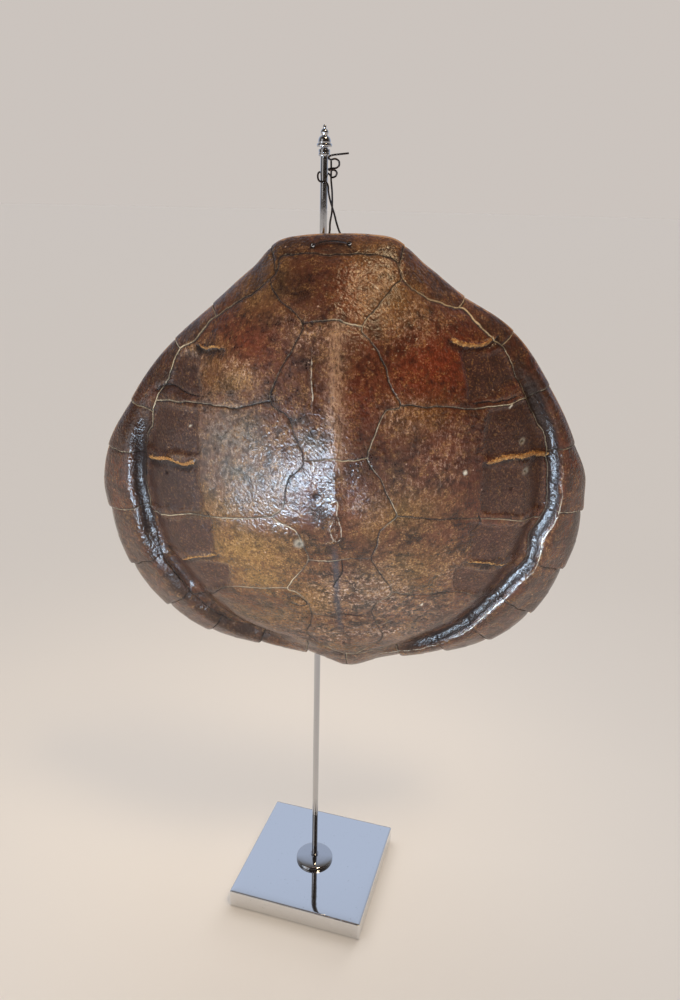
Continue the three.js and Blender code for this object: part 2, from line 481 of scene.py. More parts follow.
# Across the spine, and across the sides, from the head to the tail.
spine_steps = [
    [(-24, 159), (-5, 162), (8, 160), (21, 157)],
    [(-24, 61), (-4, 64), (10, 63), (26, 64)],
    [(-25, -37), (-8, -38), (10, -35), (29, -34)],
    [(-28, -116), (-10, -117), (12, -115), (28, -112)],
]
left_steps = [
    [(-159, 82), (-116, 91), (-86, 93), (-62, 100), (-50, 104)],
    [(-175, -23), (-150, -13), (-126, -6), (-107, -4), (-76, 3), (-52, 8)],
    [(-137, -118), (-104, -88), (-71, -82), (-47, -78)],
]
right_steps = [
    [(51, 101), (94, 92), (121, 87), (145, 84), (160, 84)],
    [(49, 10), (76, 4), (103, -1), (144, -12), (176, -26)],
    [(46, -81), (75, -87), (100, -88), (122, -99), (140, -116)],
]
# Where the rim scutes meet, on the rim.
rim_notches = [
    (53, 206), (103, 165), (144, 136), (178, 89), (206, 35), (219, -31), (210, -96), (184, -149),
    (145, -184), (102, -199), (57, -207), (0, -221), (-42, -205), (-91, -194), (-141, -178),
    (-181, -148), (-212, -98), (-224, -33), (-215, 30), (-187, 75), (-141, 130), (-105, 160),
    (-53, 206),
]


# %% Distances to lines
# Further than any distance on the shell.
unset = 1e3


def line_distance(x, y, line):
    """Distance of each point from a line of short straight steps, and which side it is on."""
    best = np.full(x.shape, unset)
    side = np.ones(x.shape)
    for (ax, ay), (bx, by) in zip(line, line[1:]):
        dx, dy = bx - ax, by - ay
        t = np.clip(((x - ax) * dx + (y - ay) * dy) / (dx * dx + dy * dy + 1e-9), 0, 1)
        gap = np.hypot(x - ax - t * dx, y - ay - t * dy)
        nearer = gap < best
        best = np.where(nearer, gap, best)
        side = np.where(nearer, np.sign(dx * (y - ay) - dy * (x - ax)), side)
    return best, side


def inside_loop(x, y, loop):
    """True for points inside a closed line."""
    crossings = np.zeros(x.shape, int)
    for (ax, ay), (bx, by) in zip(loop, loop[1:]):
        if ay == by:
            continue
        spans = (ay > y) != (by > y)
        crossings += spans & (x < ax + (y - ay) * (bx - ax) / (by - ay))
    return crossings % 2 == 1


def loop_field(x, y, points):
    """Distance from a closed seam: less than zero inside it."""
    loop = through(points, 5, closed=True)
    gap, _ = line_distance(x, y, loop)
    return np.where(inside_loop(x, y, loop), -gap, gap)


def step_field(x, y, seams):
    """Distance from the nearest of several seams that cross a strip; its sign changes at each."""
    field = np.full(x.shape, unset)
    for number, points in enumerate(seams):
        line = through(points, 6)
        above = y - np.interp(x, line[:, 0], line[:, 1])
        lean = np.interp(x, line[:-1, 0], np.diff(line[:, 1]) / np.diff(line[:, 0]))
        above = above / np.hypot(1, lean)
        field = np.where(np.abs(above) < np.abs(field), above * (-1) ** number, field)
    return field


def notch_field(x, y, signed=True):
    """Distance past the nearest seam between rim scutes, which run out from the dome's centre.

    With signed, every other seam counts backwards, so the field doesn't jump between two seams.
    """
    field = np.full(x.shape, unset)
    for number, (nx, ny) in enumerate(rim_notches):
        out = np.array([nx, ny - dome_centre]) / math.hypot(nx, ny - dome_centre)
        along = (x - nx) * out[0] + (y - ny) * out[1]
        across = (x - nx) * out[1] - (y - ny) * out[0]
        near = (np.abs(across) < np.abs(field)) & (along > -80)
        field = np.where(near, across * (-1) ** (number * signed), field)
    return field


# %% [markdown]
# ## Relief of the back
# Under the horn lies bone. Where the ribs have not grown together there are gaps, and the horn has
# sunk into them: flat dark windows between the ribs along each side. Some rib ends have worn through
# to a bright torn edge. All this is real shape, so it moves the points of the mesh along their
# normals: valleys at the seams, a soft swell on each scute, sunken windows, the ribs' edges, a
# rough keel and a cove along the rim scutes.

# %% Windows and torn ribs
windows = [
    [(97, 133), (142, 126), (154, 97), (106, 94)],
    [(119, 87), (166, 84), (188, 44), (186, 32), (121, 48)],
    [(119, 44), (192, 27), (194, -22), (121, -2)],
    [(110, -6), (184, -31), (180, -70), (112, -50)],
    [(100, -54), (174, -81), (152, -112), (102, -88)],
    [(-148, 124), (-112, 127), (-112, 97), (-158, 90)],
    [(-176, 78), (-116, 88), (-116, 48), (-184, 38)],
    [(-186, 34), (-114, 42), (-116, 0), (-190, -20)],
    [(-186, -26), (-107, -6), (-110, -47), (-186, -70)],
    [(-182, -75), (-98, -53), (-103, -88), (-162, -116)],
]
# A torn rib edge: its line and its half width.
torn_ribs = [
    ([(91, 140), (96, 137.5), (103, 135), (110, 133.5), (119, 133), (127, 135)], 1.2),
    ([(126, 44), (138, 44), (150, 42.5), (166, 38), (180, 32)], 1.9),
    ([(113, -51), (124, -54), (136, -59), (150, -67)], 0.7),
    ([(-114, 132), (-106, 132), (-100, 134), (-94, 134)], 0.7),
    ([(-170, 31), (-149, 39), (-137, 38), (-131, 39), (-122, 43)], 1.5),
    ([(-150, -69), (-139, -59), (-122, -53), (-111, -47)], 1.1),
]

# %% Cracks, pits and chips
cracks = [
    [(3, -38), (4, -48), (1, -58), (-4, -70)],
    [(-1, -113), (9, -117), (19, -117)],
    [(26, -140), (35, -137), (47, -128)],
    [(-47, -92), (-40, -88), (-34, -93), (-31, -100), (-38, -103), (-45, -99)],
    [(-112, -2), (-108, -12), (-113, -20)],
    [(-158, 90), (-146, 98), (-130, 96), (-114, 97)],
    [(112, 93), (128, 90), (148, 88)],
    [(119, -3), (121, -10), (117, -16)],
]
# Thin lines where the horn has lifted: the edge stands up, and its pale colour is partly a painted
# highlight.
lifted_edges_and_glints = [
    [(-3, 26), (1, 28), (2, 21), (2, 14), (4, -1), (3, -11), (-2, -13.5)],
    [(-3, 7), (-5, -4), (-2, -13.5)],
    [(-16.5, 135), (-16, 122), (-16.5, 106)],
    [(28, 184), (33, 180)],
]
# Small pits: x, y, radius.
pits = [
    (156, 53, 1.3), (160, 27, 1.4), (147, 16, 1.4), (-151, 26, 1.6), (-15, 31, 2.6),
    (-31, -19, 1.5), (-24, 160, 1.5), (-17, 159, 1.2), (-11, 158, 1.3), (-21, 156, 1.0),
]
# Pale spots: chips, rims of pits and one drop of varnish: x, y, radius, strength.
chips = [
    (105, 40, 1.7, 1), (144, 83, 1.3, 1), (-124, 72, 1.0, 1), (73, -101, 1.0, 1),
    (156, 53, 2.6, 0.35), (160, 27, 2.8, 0.3), (-31.5, -18, 4.2, 0.3), (-33, -16.5, 1.0, 0.5),
]

# %% Patches of tone and wear, and of painted highlight and sheen
# Soft patches of each kind: x, y, half width, half height, strength.
patches = {}
# Where a seam's pale line shows.
patches["seam_pale"] = [
    (-128, 128, 36, 34, 0.9), (105, 150, 46, 40, 1.0), (168, 30, 18, 60, 0.8),
    (-160, 76, 18, 24, 0.8), (-152, -10, 38, 12, 1.0), (-90, 0, 36, 8, 0.6),
    (-42, -4, 18, 18, 1.0), (-40, -70, 11, 16, 1.0), (-72, -84, 30, 10, 0.7),
    (-12, -37, 16, 6, 0.6), (12, 63, 18, 6, 0.7), (34, 82, 12, 26, 0.5), (142, 86, 28, 8, 0.9),
    (150, -14, 36, 12, 0.6), (13, 160, 16, 7, 0.7), (36, 172, 12, 10, 0.4), (44, 14, 12, 12, 0.5),
    (48, -94, 14, 12, 0.5), (214, 5, 24, 50, 0.7), (-216, 5, 24, 50, 0.8), (0, -190, 56, 14, 0.7),
    (-190, 80, 24, 24, 0.5), (180, 90, 20, 20, 0.5),
]
# Where a painted highlight runs along the cove's outer edge.
patches["crest"] = [(188, -50, 20, 44, 1.0), (150, -140, 44, 34, 1.0), (60, -192, 60, 14, 0.7)]
# Where old varnish has gone dull and grey; that grey is partly a painted sheen.
patches["dusty"] = [
    (-82, 72, 32, 22, 1.0), (-74, 44, 32, 26, 0.9), (-102, 44, 16, 26, 0.6),
    (-20, 72, 15, 18, 0.6), (26, -84, 28, 34, 0.35), (30, -148, 50, 16, 0.3),
]
# Where the varnish is still thick and clear.
patches["glossy"] = [(40, 178, 32, 24, 1.0), (-30, 196, 16, 12, 0.5), (-24, 34, 40, 44, 0.6)]
# Where the horn has another tone, and where it is worn.
patches["amber"] = [
    (-80, -34, 40, 30, 1.0), (-70, -66, 34, 20, 0.8), (-98, 6, 30, 18, 0.6), (-60, 14, 26, 14, 0.4),
    (-26, -92, 20, 26, 0.7), (52, 14, 34, 16, 0.6), (66, -52, 34, 26, 0.5), (30, 2, 14, 18, 0.5),
    (-76, 116, 14, 10, 0.8), (-62, -128, 40, 18, 0.45), (-140, 62, 6, 20, 0.3),
    (-52, 196, 16, 14, 0.6), (28, 204, 26, 8, 0.7), (66, 92, 22, 12, 0.4), (-66, 176, 24, 16, 0.5),
    (48, 172, 26, 16, 0.5), (-100, 118, 22, 22, 0.35), (-15, -178, 30, 8, 0.5), (32, 182, 20, 22, 0.5),
    (-80, -200, 50, 12, 0.4), (70, -204, 50, 12, 0.35),
]
patches["red"] = [
    (78, 124, 40, 32, 1.0), (16, 182, 26, 26, 0.7), (-72, 146, 30, 24, 0.7),
    (24, 100, 20, 40, 0.6), (22, 20, 18, 26, 0.55), (96, 56, 36, 34, 0.4), (118, 30, 28, 50, 0.55),
    (-104, 84, 18, 18, 0.3), (30, 128, 14, 30, 0.4), (196, 20, 26, 60, 0.4),
    (160, 100, 34, 34, 0.4), (-205, 20, 18, 40, 0.35), (-176, 88, 26, 20, 0.4),
]
patches["worn"] = [
    (-120, 124, 14, 10, 0.8), (-76, 121, 16, 9, 0.8), (0, 152, 16, 12, 0.8),
    (52, 92, 18, 14, 0.8), (36, -84, 28, 38, 1.0), (30, -146, 44, 18, 1.0),
    (2, 104, 10, 56, 0.5), (60, 158, 30, 16, 0.5), (-76, 60, 46, 44, 0.35),
    (30, 180, 22, 16, 0.3), (26, 24, 16, 18, 0.7), (88, 58, 26, 22, 0.5),
    (-20, 152, 20, 12, 0.8), (70, -110, 34, 16, 0.6), (-90, 20, 34, 26, 0.4),
    (62, 36, 20, 26, 0.3), (-14, -100, 16, 40, 0.6), (-60, -140, 30, 14, 0.4), (4, -84, 36, 32, 0.9),
    (-10, -150, 56, 26, 0.8), (96, -60, 20, 20, 0.4), (0, -206, 110, 14, 0.5),
]
patches["dark"] = [
    (-160, 96, 40, 26, 0.7), (-60, 190, 44, 18, 0.6), (150, 70, 30, 60, 0.3),
    (-12, 130, 30, 30, 0.35), (-150, -60, 30, 50, 0.4), (120, -120, 60, 24, 0.4),
    (-90, -140, 60, 22, 0.5), (0, 205, 50, 8, 0.3), (-12, 184, 20, 24, 0.5),
    (44, 56, 14, 30, 0.4), (84, 8, 20, 16, 0.3), (-148, 20, 34, 60, 0.8), (-92, 168, 40, 14, 0.5),
    (22, 90, 16, 22, 0.4), (22, 26, 14, 20, 0.4),
    (24, 60, 16, 50, 0.75), (22, -26, 16, 30, 0.5), (-184, 52, 20, 36, 1.0),
    (116, 32, 20, 44, 0.7), (52, 60, 14, 20, 0.3), (70, -56, 34, 30, 0.3),
]
# The keel wanders a little: x at each y.
keel_places = [-150, -100, -55, -15, 30, 90, 165]
keel_turns = [-2, -3, -2, -2, 0, 1, 1]


# %% Soft patches, windows and noise
def patch_field(x, y, places):
    """How strong the patches are at each point, from 0 to 1."""
    total = np.zeros(x.shape)
    for px, py, half_x, half_y, strength in places:
        far = ((x - px) / half_x) ** 2 + ((y - py) / half_y) ** 2
        total = np.maximum(total, strength * np.exp(-far))
    return total


def window_field(x, y, place):
    """1 inside a window and 0 outside, with a soft, wandering edge."""
    x = x + 4.5 * lumps(place, 26, 11)
    y = y + 3.0 * lumps(place, 22, 12)
    total = np.zeros(x.shape)
    for corners in windows:
        middle = np.mean(corners, axis=0)
        inside = np.ones(x.shape)
        for (ax, ay), (bx, by) in zip(corners, corners[1:] + corners[:1]):
            across = np.array([by - ay, ax - bx]) / math.hypot(bx - ax, by - ay)
            across = across * np.sign(across @ (middle - (ax, ay)))
            depth = (x - ax) * across[0] + (y - ay) * across[1]
            inside = inside * smoothstep(depth, -1.5, 4.5)
        total = np.maximum(total, inside)
    return total


def lumps(place, size, seed):
    """Noise from -1 to 1 at each place, with lumps about size millimetres across."""
    shift = Vector((seed * 7.3, seed * 3.1, seed * 5.7))
    return np.array([noise.noise(Vector(p) + shift) for p in place / size])


def spot_field(x, y, spots, edge):
    """1 inside a round spot and 0 outside; edge is how soft its border is."""
    total = np.zeros(x.shape)
    for px, py, radius, *strength in spots:
        far = np.hypot(x - px, y - py) / radius
        spot = 1 - smoothstep(far, 1 - edge, 1 + edge)
        total = np.maximum(total, spot * sum(strength or [1]))
    return total


def cove_length(angle):
    """1 along the sides, where a cove runs inside the rim, and 0 at the head and the tail."""
    right = np.sin(angle) > 0
    from_head = degrees_from_head(angle)
    begins = (np.where(right, 58, 76), np.where(right, 78, 94))
    shallower = 1 - 0.7 * ~right * smoothstep(from_head, 112, 126)
    return between(from_head, begins, (158, 174)) * shallower


# %% All the fields of the shell
# No field is used further out than this.
farthest = 40
# About the way from the dome's centre to the rim, for the distance in from the rim.
lip_reach = 215


def beside_keel(x, y):
    """How far a point is to the right of the keel."""
    return x - np.interp(y, keel_places, keel_turns)


def shell_fields(place, share, angle, row):
    """What the relief and the finish need to know about each point, in millimetres or 0 to 1."""
    x, y = place[:, 0], place[:, 1]
    x = x + 1.3 * lumps(place, 13, 1) + 0.5 * lumps(place, 5, 2)
    y = y + 1.3 * lumps(place, 13, 3) + 0.5 * lumps(place, 5, 4)
    field = {}
    field["ring"] = loop_field(x, y, ring_right + ring_left)
    field["spine"] = loop_field(x, y, spine_right + spine_left)
    field["spine_step"] = step_field(x, y, spine_steps)
    field["side_step"] = np.where(x < 0, step_field(x, y, left_steps), step_field(x, y, right_steps))
    field["rim_step"] = notch_field(x, y)
    for name, lines in (("crack", cracks), ("lifted", lifted_edges_and_glints)):
        field[name] = np.full(x.shape, unset)
        for points in lines:
            gap, side = line_distance(x, y, through(points, 4))
            nearer = gap < np.abs(field[name])
            field[name] = np.where(nearer, gap * side, field[name])
    field["torn"] = np.zeros(x.shape)
    field["torn_below"] = np.zeros(x.shape)
    for points, half in torn_ribs:
        line = through(points, 4)
        gap, side = line_distance(x, y, line)
        field["torn"] = np.maximum(field["torn"], 1 - smoothstep(gap / half, 0.3, 1.5))
        # Below each torn rib the relief dips, and the colour gets a painted shadow there.
        below = np.where(side < 0 if points[0][0] < points[-1][0] else side > 0, 1, 0)
        shade = below * (1 - smoothstep(gap, 2, 8))
        field["torn_below"] = np.maximum(field["torn_below"], shade)
    in_ring = field["ring"] < 0
    in_spine = in_ring & (field["spine"] < 0)
    nearest = np.abs(field["ring"])
    drawn = {"spine": in_ring, "spine_step": in_spine}
    drawn.update({"side_step": in_ring & ~in_spine, "rim_step": ~in_ring})
    for name, where in drawn.items():
        nearest = np.minimum(nearest, np.where(where, np.abs(field[name]), unset))
    field["nearest"] = nearest
    field["window"] = window_field(x, y, place) * smoothstep(nearest, 0, 2.5) * in_ring
    field["pit"] = spot_field(x, y, pits, 0.35)
    field["chip"] = spot_field(x, y, chips, 0.5)
    for name in patches:
        field[name] = patch_field(x, y, patches[name])
    from_keel = beside_keel(x, y)
    field["keel"] = np.exp(-((from_keel - 1) / 5.5) ** 2) * between(y, (44, 74), (148, 170))
    field["slate"] = np.exp(-(from_keel / 2.7) ** 4) * between(y, (-160, -120), (-34, -14))
    field["cove"] = cove_length(angle) * between(field["ring"], (-1, 1.5), (9, 12))
    field["hollow"] = (row == inner_row).astype(float)
    on_lip = (row > 0) & (row < inner_row)
    field["lip"] = np.where(on_lip, 0, (1 - share) * lip_reach)
    for name in field:
        field[name] = np.clip(field[name], -farthest, farthest)
    return field


# %% Relief outside and inside
def back_relief(place, share, angle, field):
    """How far the back stands proud of its broad shape, in millimetres."""
    x, y = place[:, 0], place[:, 1]
    nearest = field["nearest"]
    relief = 0.25 * (1 - np.exp(-(nearest / 9) ** 2))
    relief -= 0.38 * np.exp(-(nearest / 1.4) ** 2)
    wander = 7 * lumps(place, 40, 13) + 3 * lumps(place, 15, 14)
    relief -= 0.8 * smoothstep(np.abs(x) + wander, 98, 118) * smoothstep(-field["ring"], 0, 6)
    relief -= 2.1 * field["window"]
    relief += 1.3 * field["torn"] - 1.2 * field["torn_below"]
    past_ring = field["ring"]
    length = cove_length(angle)
    relief -= 3.0 * length * between(past_ring, (-3, 3), (2, 13))
    relief += 1.6 * length * smoothstep(past_ring, 9, 13) * (1 - 0.6 * smoothstep(past_ring, 13, 30))
    from_keel = beside_keel(x, y)
    keel = np.exp(-np.abs(from_keel / 5) ** 1.4) * between(y, (-150, -60), (110, 150))
    relief += 0.9 * keel * (1 + 0.5 * lumps(place, 6, 5)) - 0.7 * field["slate"]
    relief += 1.0 * np.exp(-np.abs(from_keel) / 15) * smoothstep(y, -60, 20)
    relief += 0.5 * np.exp(-(field["lifted"] / 1.0) ** 2)
    relief -= 0.9 * np.exp(-(field["crack"] / 1.4) ** 2)
    relief -= 1.2 * field["pit"] - 0.5 * field["chip"]
    relief += 0.9 * lumps(place, 34, 6) + 0.4 * lumps(place, 14, 7)
    relief += (0.14 + 0.25 * field["worn"]) * lumps(place, 4, 8)
    by_wire = np.exp(-((x + 4) / 26) ** 2) * smoothstep(y, 196, 203)
    edge = smoothstep(1 - share, 0, 0.03)
    return relief * edge * (1 - by_wire)


def scallops(share, place):
    """How far the rim is drawn in: each rim scute laps a little over the next one tailwards."""
    past = notch_field(place[:, 0], place[:, 1], signed=False) * np.sign(place[:, 0])
    near_rim = smoothstep(share, 0.93, 1)
    lower = smoothstep(-place[:, 1], -40, 60) * 0.75 + 0.25
    groove = 0.8 * np.exp(-(past / 2) ** 2)
    lap = np.where(past > 0, 2.6 * np.exp(-past / 14), -1.2 * np.exp(past / 10))
    lap = lap * smoothstep(np.abs(place[:, 0]), 4, 20)
    return near_rim * lower * (groove + lap)


# %% Bones of the hollow side
vertebra_length = 31
rib_span = 120
rib_curve = 1.4
# Each rib's y at the backbone, and at its span out from there.
rib_roots = [134, 104, 68, 34, 0, -34, -68, -102]
rib_ends = [178, 134, 90, 44, -3, -52, -102, -152]


def bone_fields(place, share, field):
    """On the hollow side: the backbone, the ribs that leave it sideways and their joints."""
    x, y = place[:, 0], place[:, 1]
    joints = 0.5 + 0.5 * np.cos(TURN * y / vertebra_length)
    field["backbone"] = np.exp(-(x / (6 + 2 * joints)) ** 2) * between(y, (-165, -120), (120, 160))
    y = y + 2.5 * lumps(place, 22, 17) + 0.8 * lumps(place, 5, 18)
    out = np.abs(x) / rib_span
    rib = np.full(x.shape, unset)
    suture = np.full(x.shape, unset)
    roots = np.array(rib_roots)
    rises = np.array(rib_ends) - roots
    for k, nearest in ((0, rib), (0.5, suture)):
        for i in range(len(roots) - 1):
            root = roots[i] * (1 - k) + roots[i + 1] * k
            rise = rises[i] * (1 - k) + rises[i + 1] * k
            lean = rise * rib_curve * out ** (rib_curve - 1) / rib_span
            gap = np.abs(y - root - rise * out ** rib_curve) / np.hypot(1, lean)
            np.minimum(nearest, gap, out=nearest)
    seen = smoothstep(np.abs(x), 5, 18) * (1 - smoothstep(share, 0.86, 0.96))
    field["rib"] = np.exp(-(rib / 8) ** 2) * seen
    field["suture"] = suture + farthest * (1 - seen)


def hollow_relief(place, field):
    """How far the hollow side stands off its broad shape, in millimetres."""
    joints = 0.8 + 0.2 * np.cos(TURN * place[:, 1] / vertebra_length)
    relief = 6 * field["backbone"] * joints + 2.6 * field["rib"] * (1 - field["backbone"])
    relief -= 0.8 * np.exp(-(field["suture"] / 1.2) ** 2) + 0.6 * field["window"]
    return relief + 0.7 * lumps(place, 18, 9) + 0.3 * lumps(place, 6, 10)


# %% [markdown]
# ## Making the shell
# The blank is shaped, its relief is added along the normals, and the fields are stored on its points
# for the finish to read. Two holes at the head end take the wire: they are drilled with a Boolean,
# which keeps what is stored on the points round them.

# %% Shell mesh
wire_holes = [(10, 209), (-19, 208)]
wire_hole_radius = 1.5
# What the finish reads on the points inside a hole: far from every seam, and a pit, whose dark colour is
# painted shade.
hole_fields = dict.fromkeys(("ring", "rim_step", "spine", "crack", "lifted", "nearest", "lip"), 30)
hole_fields["pit"] = 1


def read_points(mesh):
    flat = np.empty(len(mesh.vertices) * 3)
    mesh.vertices.foreach_get("co", flat)
    return flat.reshape(-1, 3)


def write_points(mesh, place):
    mesh.vertices.foreach_set("co", place.ravel())
    mesh.update()


def store(mesh, name, values):
    layer = mesh.attributes.new(name, "FLOAT", "POINT")
    layer.data.foreach_set("value", values.astype(np.float32))


def make_shell_mesh():
    mesh = mesh_from(make_blank(), "carapace_back")
    place, share, angle, row = shape_shell(read_points(mesh))
    write_points(mesh, place)
    normals = np.empty(len(mesh.vertices) * 3)
    mesh.vertex_normals.foreach_get("vector", normals)
    normals = normals.reshape(-1, 3)
    field = shell_fields(place, share, angle, row)
    bone_fields(place, share, field)
    inside = (row == inner_row) * smoothstep(1 - share, 0.045, 0.08)
    relief = back_relief(place, share, angle, field) * (row == 0)
    relief += hollow_relief(place, field) * inside
    inward = scallops(share, place)
    place = place + normals * relief[:, None]
    place[:, 0] -= inward * np.sin(angle)
    place[:, 1] -= inward * np.cos(angle)
    write_points(mesh, place)
    for name, values in field.items():
        store(mesh, name, values)
    print("shell relief in mm:", relief.min().round(2), "to", relief.max().round(2))
    return mesh


# %% Wire holes, and the shell's place on the stand
def drill(mesh):
    bm = bmesh.new()
    for x, y in wire_holes:
        at = Matrix.Translation((x, y, 10))
        bmesh.ops.create_cone(
            bm, cap_ends=True, segments=24, radius1=wire_hole_radius, radius2=wire_hole_radius,
            depth=80, matrix=at,
        )
    drills = put("drills", mesh_from(bm, "drills"))
    shell = put("shell_blank", mesh)
    cut = shell.modifiers.new("holes", "BOOLEAN")
    cut.operation = "DIFFERENCE"
    cut.object = drills
    cut.solver = "EXACT"
    graph = bpy.context.evaluated_depsgraph_get()
    drilled = bpy.data.meshes.new_from_object(shell.evaluated_get(graph), depsgraph=graph)
    bpy.data.objects.remove(shell)
    bpy.data.objects.remove(drills)
    darken_holes(drilled)
    return drilled


def darken_holes(mesh):
    """The Boolean leaves the fields at 0 on the points it makes."""
    place = read_points(mesh)
    for x, y in wire_holes:
        gap = np.hypot(place[:, 0] - x, place[:, 1] - y)
        for vert in np.flatnonzero(gap < wire_hole_radius + 0.6):
            for layer in hole_fields:
                mesh.attributes[layer].data[vert].value = hole_fields[layer]


def hang(mesh):
    """From the shell's own frame in millimetres to its place on the stand in metres."""
    to_stand = Matrix.Translation(hang_point) @ hang_turn.to_4x4() @ Matrix.Scale(MM, 4)
    mesh.transform(to_stand)
    mesh.shade_smooth()
    mesh.set_sharp_from_angle(angle=math.radians(65))
    triangles = sum(len(face.vertices) - 2 for face in mesh.polygons)
    print("shell:", len(mesh.vertices), "points,", triangles, "triangles")


# %% [markdown]
# ## Horn and bone
# Varnished horn is a brown, half see-through layer with a hard gloss on it. Its colour comes from
# several patterns at several scales: cloudy patches of red and amber, fine mottling, dark sunken
# windows, pale worn specks and thin cream lines at the seams. The gloss is broken up by a fine
# leathery grain. The hollow side is dull bone. The patterns that colour, gloss and grain share are
# kept in one class, so that a fleck, its gloss and its bump stay together.

# %% Colours of horn and bone
brown = rgb(86, 47, 30)
deep_brown = rgb(42, 25, 18)
olive = rgb(94, 63, 35)
red_brown = rgb(114, 45, 22)
amber = rgb(136, 96, 46)
window_brown = rgb(72, 44, 36)
rim_brown = rgb(66, 42, 30)
slate = rgb(56, 55, 59)
cove_dark = rgb(40, 30, 27)
cream = rgb(208, 184, 148)
pale_edge = rgb(214, 200, 176)
torn_horn = rgb(158, 100, 50)
torn_pale = rgb(186, 140, 82)
torn_deep = rgb(92, 58, 34)
tan_fleck = rgb(176, 128, 76)
pink_fleck = rgb(190, 154, 130)
keel_tan = rgb(158, 118, 88)
dust_sheen_grey = rgb(126, 120, 104)
seam_dark = rgb(24, 18, 17)
bone = rgb(204, 182, 144)
bone_stain_and_shade = rgb(138, 104, 70)
horn_inside = rgb(78, 44, 24)


# %% Fields and noises of the horn
class Horn(Finish):
    """The horn's finish, with the stored fields and the noises that its parts share."""

    def __init__(self):
        super().__init__("varnished_horn", IOR=1.5, Specular_IOR_Level=0.55)
        fields = ("hollow", "ring", "worn", "dusty", "glossy", "cove", "keel", "pit", "amber", "dark")
        for name in fields:
            setattr(self, name, self.attribute(name))
        self.grain = self.noise(1.3, 2, 0.6)
        self.fine = self.noise(1.7, 3, 0.7)
        self.small = self.noise(4, 5, 0.7)
        self.cloudy = self.noise(8, 4, 0.6, distortion=0.6)
        self.middle = self.noise(16, 5, 0.66)
        self.broad = self.noise(52, 3, 0.55)
        self.streaked = self.noise(1.6, 4, 0.7, place=self.mapped(scale=(1, 1, 0.2)))
        slanted = self.mapped(scale=(1, 1, 0.4), rotation=(0, math.radians(40), 0))
        self.hatched = self.noise(2.3, 1, 0.5, place=slanted)
        self.in_ring = self.ring.math("LESS_THAN", 0)
        self.wobble = (self.fine - 0.5) * 0.6


# %% Seams and cracks as thin lines
def seam_lines(horn):
    """How far each point is from a drawn seam, and from the pale line that runs beside it."""
    in_spine = horn.in_ring * horn.attribute("spine").math("LESS_THAN", 0)
    beside = 0.45
    dark = pale = None
    for name, where in (
        ("ring", 1), ("spine", horn.in_ring), ("spine_step", in_spine),
        ("side_step", horn.in_ring * (1 - in_spine)), ("rim_step", 1 - horn.in_ring),
    ):
        gap = horn.attribute(name) + horn.wobble
        unseen = (1 - where) * 50
        dark_gap = gap.size() + unseen
        pale_gap = (gap - beside).size() + unseen
        dark = dark_gap if dark is None else dark.math("MINIMUM", dark_gap)
        pale = pale_gap if pale is None else pale.math("MINIMUM", pale_gap)
    return dark, pale


def add_lines(horn):
    """Adds seams and their pale lines, cracks, lifted edges and the cove's lip with painted highlights."""
    seam, beside_seam = seam_lines(horn)
    horn.groove = seam.step(0.75, 0.25)
    broken = horn.middle.step(0.40, 0.52) * 0.6 + 0.4
    shown = horn.attribute("seam_pale") * broken + horn.fine.step(0.5, 0.6) * 0.16
    horn.cream_line = beside_seam.step(0.6, 0.2) * shown * (1 - horn.cove * 0.8)
    horn.crack_line = (horn.attribute("crack") + horn.wobble).size().step(0.8, 0.25)
    # Lifted edges: a pale line, partly a painted highlight.
    horn.lifted_line = (horn.attribute("lifted") + horn.wobble).size().step(0.6, 0.2)
    # A painted highlight along the cove's outer edge.
    horn.lip_crest = (horn.ring - 12.2 + horn.wobble * 2).size().step(0.6, 0.2) * horn.attribute("crest")


def add_windows_and_ribs(horn):
    """Adds how far a point belongs to a window, and to a torn rib's end."""
    horn.window = horn.attribute("window") * (0.94 - horn.fine.step(0.52, 0.66) * 0.3 - horn.worn * 0.3)
    horn.ragged = (horn.attribute("torn") * 1.5 + (horn.fine - 0.5) * 3).step(0.5, 0.9)


# %% Bone of the hollow side
def bone_color(horn):
    """Pale bone ribs and backbone, painted shade between them; stains, sutures, dark horn in the gaps."""
    raised = horn.attribute("rib").math("MAXIMUM", horn.attribute("backbone"))
    # Lighter on the ribs and darker between them: painted shade that shows their relief.
    ground = horn.mix(raised * 0.75 + (horn.middle - 0.5) * 0.8 + 0.2, bone_stain_and_shade, bone)
    zigzag = (horn.attribute("suture") + (horn.small - 0.5) * 4).size()
    return horn.layered(ground, [
        (horn.cloudy.step(0.5, 0.7) * 0.35, bone_stain_and_shade),
        (horn.fine.step(0.62, 0.7) * 0.5, deep_brown),
        (horn.attribute("lip").step(34, 4) * (horn.small.step(0.3, 0.6) * 0.5 + 0.3), brown),
        (horn.attribute("window") * (0.9 - horn.small.step(0.5, 0.7) * 0.3), horn_inside),
        (zigzag.step(1.0, 0.3) * 0.7, deep_brown),
    ])


